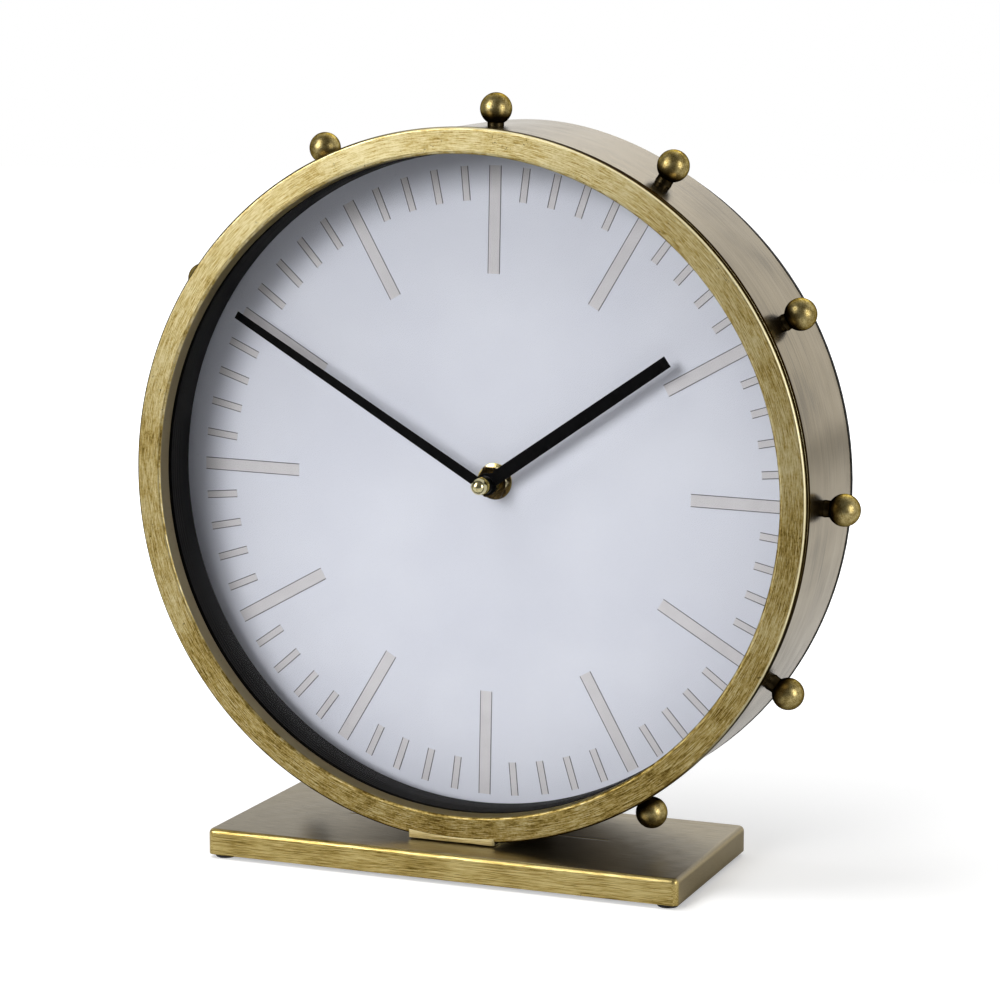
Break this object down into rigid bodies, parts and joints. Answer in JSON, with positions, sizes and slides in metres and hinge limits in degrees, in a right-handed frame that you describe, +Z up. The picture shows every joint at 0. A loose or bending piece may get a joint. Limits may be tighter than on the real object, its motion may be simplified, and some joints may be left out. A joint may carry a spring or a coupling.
{
  "type": "desk clock",
  "caption": "Round analogue desk clock: brass drum with ball studs on a plate foot, white dial with bar marks, black baton hands and a battery quartz movement.",
  "frame": {"origin": "middle of the foot's footprint, on the surface that the clock stands on", "axes": "+Z up, -Y towards the viewer of the dial, +X to the viewer's right"},
  "size_m": [0.2908, 0.083, 0.2906],
  "materials": {
    "bezel_brass": "brushed antique brass",
    "band_brass": "satin, aged",
    "stud_brass": "satin",
    "base_brass": "antiqued, darker on top",
    "base_plate": "black paint",
    "saddle_brass": "brushed",
    "foot_rubber": "matt",
    "steel": "zinc plated",
    "gasket_rubber": "matt",
    "window_glass": "clear, flat",
    "spacer_black": "satin",
    "dial_card": "printed white card",
    "mark_ink": "printed ink",
    "board_fibre": "hardboard",
    "back_black": "black painted board",
    "bright_brass": "polished",
    "washer_rubber": "matt",
    "hand_black": "matt black",
    "case_plastic": "moulded",
    "gear_plastic": "moulded, natural",
    "knob_plastic": "moulded",
    "arbor_steel": "turned",
    "rotor_magnet": "moulded with a magnet",
    "stator_iron": "stamped",
    "bobbin_plastic": "moulded",
    "coil_copper": "enamelled copper wire",
    "cell_jacket": "plain jacket",
    "contact_steel": "plated spring steel",
    "circuit_green": "laminate"
  },
  "bodies": {
    "clock": {"bezel_ring": "bezel_brass", "drum_band": "band_brass", "base_tray": "base_brass", "base_bottom": "base_plate", "saddle": "saddle_brass", "rubber_feet": "foot_rubber", "saddle_screws": "steel", "saddle_nuts": "steel", "glass_gasket": "gasket_rubber", "glass": "window_glass", "spacer_ring": "spacer_black", "dial_card": "dial_card", "dial_marks": "mark_ink", "dial_board": "board_fibre", "clamp_brackets": "steel", "clamp_screws": "steel", "back_lugs": "steel", "back_board": "back_black", "back_screws": "steel", "bush": "bright_brass", "rubber_washer": "washer_rubber", "brass_washer": "bright_brass", "hex_nut": "bright_brass", "case_front": "case_plastic", "case_back": "case_plastic", "wheel_bridge": "gear_plastic", "stator": "stator_iron", "coil_core": "stator_iron", "coil_bobbin": "bobbin_plastic", "coil_winding": "coil_copper", "battery": "cell_jacket", "contact_positive": "contact_steel", "contact_negative": "contact_steel", "circuit_board": "circuit_green", "quartz_crystal": "contact_steel", "ball_stud_12": "stud_brass", "ball_stud_01": "stud_brass", "ball_stud_02": "stud_brass", "ball_stud_03": "stud_brass", "ball_stud_04": "stud_brass", "ball_stud_05": "stud_brass", "ball_stud_07": "stud_brass", "ball_stud_08": "stud_brass", "ball_stud_09": "stud_brass", "ball_stud_10": "stud_brass", "ball_stud_11": "stud_brass"},
    "minute": {"minute_arbor": "arbor_steel", "minute_hand": "hand_black", "cap_nut": "bright_brass"},
    "hour": {"hour_wheel": "gear_plastic", "hour_bush": "arbor_steel", "hour_hand": "hand_black"},
    "minute_wheel": {"minute_wheel": "gear_plastic"},
    "knob": {"setting_knob": "knob_plastic"},
    "rotor": {"rotor": "rotor_magnet"},
    "fifth": {"fifth_wheel": "gear_plastic"},
    "fourth": {"fourth_wheel": "gear_plastic"},
    "third": {"third_wheel": "gear_plastic"},
    "centre": {"centre_wheel": "gear_plastic"}
  },
  "joints": [
    {"name": "minute_spin", "type": "hinge", "parent": "clock", "child": "minute", "pos_m": [0.0024, -0.0009, 0.1446], "axis": [0, 1, 0], "continuous": true},
    {"name": "hour_spin", "type": "hinge", "parent": "clock", "child": "hour", "pos_m": [0.0024, -0.0009, 0.1446], "axis": [0, 1, 0], "continuous": true},
    {"name": "minute_wheel_spin", "type": "hinge", "parent": "clock", "child": "minute_wheel", "pos_m": [-0.00326, 0.0134, 0.15026], "axis": [0, 1, 0], "continuous": true},
    {"name": "knob_spin", "type": "hinge", "parent": "clock", "child": "knob", "pos_m": [-0.01018, 0.0204, 0.15426], "axis": [0, 1, 0], "continuous": true},
    {"name": "rotor_spin", "type": "hinge", "parent": "clock", "child": "rotor", "pos_m": [0.00231, 0.0224, 0.15825], "axis": [0, 1, 0], "continuous": true},
    {"name": "fifth_spin", "type": "hinge", "parent": "clock", "child": "fifth", "pos_m": [0.00711, 0.0204, 0.15825], "axis": [0, 1, 0], "continuous": true},
    {"name": "fourth_spin", "type": "hinge", "parent": "clock", "child": "fourth", "pos_m": [0.01247, 0.0194, 0.15376], "axis": [0, 1, 0], "continuous": true},
    {"name": "third_spin", "type": "hinge", "parent": "clock", "child": "third", "pos_m": [0.01061, 0.0184, 0.1468], "axis": [0, 1, 0], "continuous": true},
    {"name": "centre_spin", "type": "hinge", "parent": "clock", "child": "centre", "pos_m": [0.0024, 0.0171, 0.1446], "axis": [0, 1, 0], "continuous": true}
  ],
  "couplings": [
    {"joint": "hour_spin", "follows": "minute_spin", "ratio": 0.083333},
    {"joint": "minute_wheel_spin", "follows": "minute_spin", "ratio": -0.33333},
    {"joint": "knob_spin", "follows": "minute_spin", "ratio": 1},
    {"joint": "fifth_spin", "follows": "rotor_spin", "ratio": -0.2},
    {"joint": "fourth_spin", "follows": "rotor_spin", "ratio": 0.033333},
    {"joint": "third_spin", "follows": "rotor_spin", "ratio": -0.0041667},
    {"joint": "centre_spin", "follows": "rotor_spin", "ratio": 0.00055556}
  ]
}
